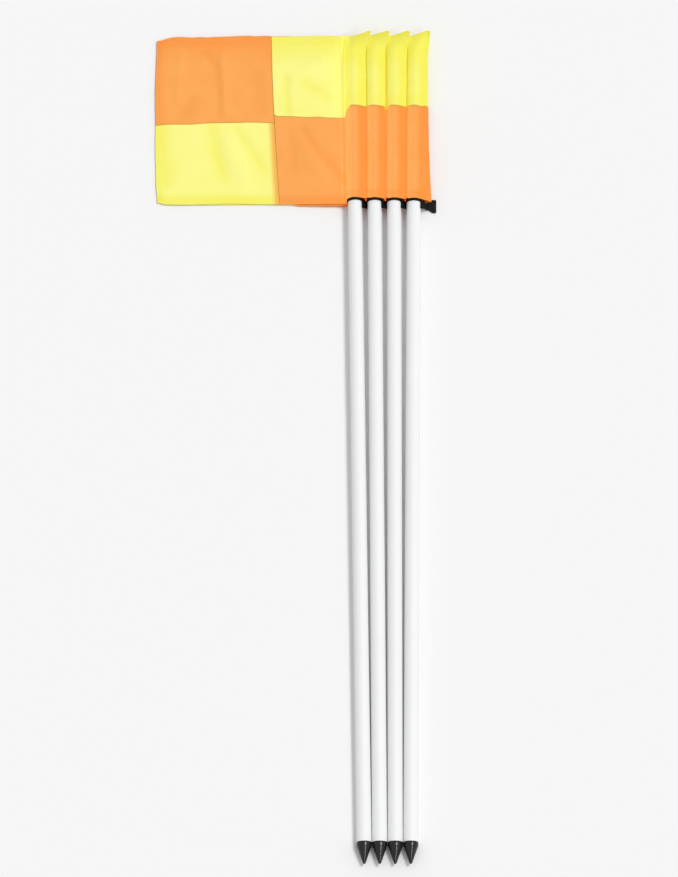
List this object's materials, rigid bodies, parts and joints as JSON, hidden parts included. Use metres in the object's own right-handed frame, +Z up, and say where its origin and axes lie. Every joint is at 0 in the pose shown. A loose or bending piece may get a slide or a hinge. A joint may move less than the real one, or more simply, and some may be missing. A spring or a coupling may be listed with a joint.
{
  "type": "corner flag set",
  "caption": "Corner flags laid side by side: white poles with ground spikes, domed caps and clips, sleeved into two-colour chequered banners that lie in one pile.",
  "frame": {"origin": "middle of the set's footprint, on the ground it lies on", "axes": "+Y along the poles towards the cloth, -Y towards the spikes; banners lie towards -X; +Z up from the ground"},
  "size_m": [0.4956, 1.5062, 0.0378],
  "materials": {
    "white_plastic": "smooth extruded white plastic with a soft sheen",
    "black_plastic": "moulded black plastic with a satin gloss",
    "orange_cloth": "thin woven polyester, orange",
    "yellow_cloth": "thin woven polyester, yellow"
  },
  "bodies": {
    "flag_4": {"pole_4": "white_plastic", "pole_cap_4": "white_plastic", "ground_spike_4": "black_plastic", "sleeve_lower_4": "orange_cloth", "sleeve_upper_4": "yellow_cloth", "outer_upper_panel_4": "orange_cloth", "outer_lower_panel_4": "yellow_cloth", "inner_upper_panel_4": "yellow_cloth", "inner_lower_panel_4": "orange_cloth"},
    "flag_3": {"pole_3": "white_plastic", "pole_cap_3": "white_plastic", "ground_spike_3": "black_plastic", "sleeve_lower_3": "orange_cloth", "sleeve_upper_3": "yellow_cloth", "outer_upper_panel_3": "orange_cloth", "outer_lower_panel_3": "yellow_cloth", "inner_upper_panel_3": "yellow_cloth", "inner_lower_panel_3": "orange_cloth"},
    "flag_2": {"pole_2": "white_plastic", "pole_cap_2": "white_plastic", "ground_spike_2": "black_plastic", "sleeve_lower_2": "orange_cloth", "sleeve_upper_2": "yellow_cloth", "outer_upper_panel_2": "orange_cloth", "outer_lower_panel_2": "yellow_cloth", "inner_upper_panel_2": "yellow_cloth", "inner_lower_panel_2": "orange_cloth"},
    "flag_1": {"pole_1": "white_plastic", "pole_cap_1": "white_plastic", "ground_spike_1": "black_plastic"},
    "sleeve_1": {"sleeve_lower_1": "orange_cloth", "sleeve_upper_1": "yellow_cloth"},
    "banner_1": {"outer_upper_panel_1": "orange_cloth", "outer_lower_panel_1": "yellow_cloth", "inner_upper_panel_1": "yellow_cloth", "inner_lower_panel_1": "orange_cloth"},
    "clip_1": {"flag_clip_1": "black_plastic"},
    "clip_2": {"flag_clip_2": "black_plastic"},
    "clip_3": {"flag_clip_3": "black_plastic"},
    "clip_4": {"flag_clip_4": "black_plastic"}
  },
  "joints": [
    {"name": "flag_3_draw", "type": "slide", "parent": "flag_4", "child": "flag_3", "axis": [-0.0038, -1, 0], "range_m": [0, 0.2]},
    {"name": "flag_2_draw", "type": "slide", "parent": "flag_3", "child": "flag_2", "axis": [0.0038, -1, 0], "range_m": [0, 0.2]},
    {"name": "flag_1_draw", "type": "slide", "parent": "flag_2", "child": "flag_1", "axis": [0.0115, -0.9999, 0], "range_m": [0, 0.2]},
    {"name": "clip_4_slide", "type": "slide", "parent": "flag_4", "child": "clip_4", "axis": [-0.0115, -0.9999, -0.0052], "range_m": [0, 0.15]},
    {"name": "clip_3_slide", "type": "slide", "parent": "flag_3", "child": "clip_3", "axis": [-0.0038, -1, -0.0062], "range_m": [0, 0.15]},
    {"name": "clip_2_slide", "type": "slide", "parent": "flag_2", "child": "clip_2", "axis": [0.0038, -1, -0.0071], "range_m": [0, 0.15]},
    {"name": "clip_1_slide", "type": "slide", "parent": "flag_1", "child": "clip_1", "axis": [0.0115, -0.9999, -0.0081], "range_m": [0, 0.15]},
    {"name": "sleeve_1_slide", "type": "slide", "parent": "flag_1", "child": "sleeve_1", "axis": [-0.0115, 0.9999, 0.0081], "range_m": [0, 0.33]},
    {"name": "banner_1_lift", "type": "hinge", "parent": "sleeve_1", "child": "banner_1", "pos_m": [0.08392, 0.58866, 0.0085], "axis": [-0.0115, 0.9999, 0], "range_deg": [0, 90]}
  ]
}
